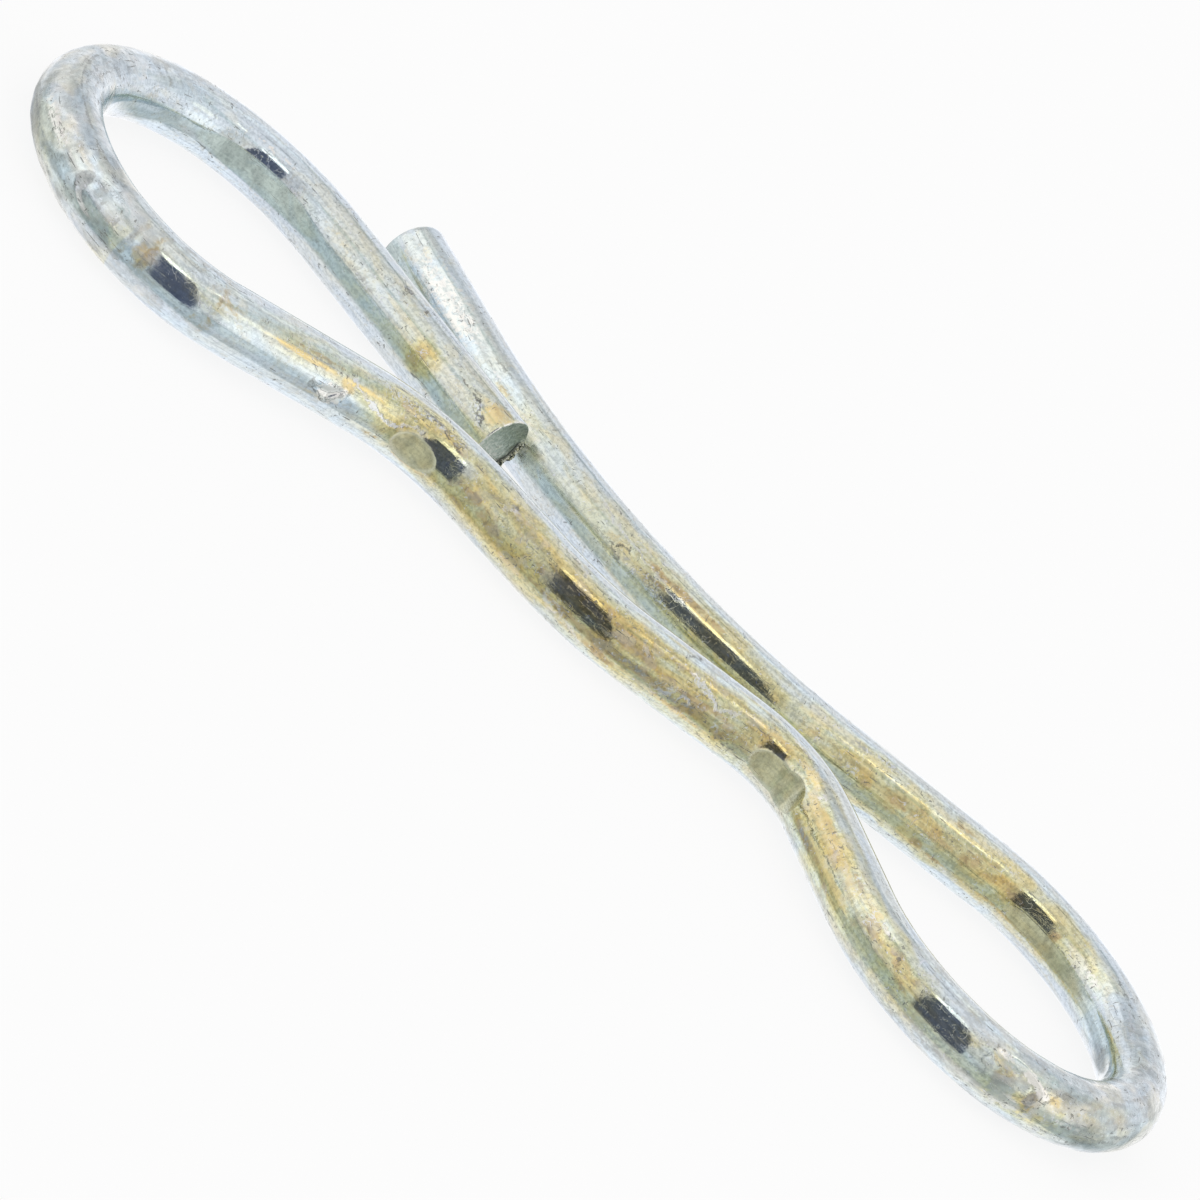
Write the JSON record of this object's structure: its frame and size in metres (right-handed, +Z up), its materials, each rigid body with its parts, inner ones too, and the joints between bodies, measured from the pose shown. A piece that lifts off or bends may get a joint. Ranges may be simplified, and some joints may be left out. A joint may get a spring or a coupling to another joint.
{
  "type": "bow-tie cotter pin",
  "caption": "Bow-tie locking cotter pin bent from round wire: its long leg goes through a shaft's cross hole and its seat hugs the shaft.",
  "frame": {"origin": "middle of the pin's box in plan, on the surface that it lies on", "axes": "+X along the pin, from the first loop with the short leg to the second loop; +Y across it, from the seat towards the long leg's flared end; +Z up from the surface that it lies on"},
  "size_m": [0.0674, 0.027, 0.0032],
  "materials": {
    "zinc_plated_steel": "bright zinc with a thin, uneven yellow-brown chromate film, satin to glossy, with fine drawing lines along the wire"
  },
  "bodies": {
    "root": {"wire_pin": "zinc_plated_steel"}
  },
  "joints": []
}
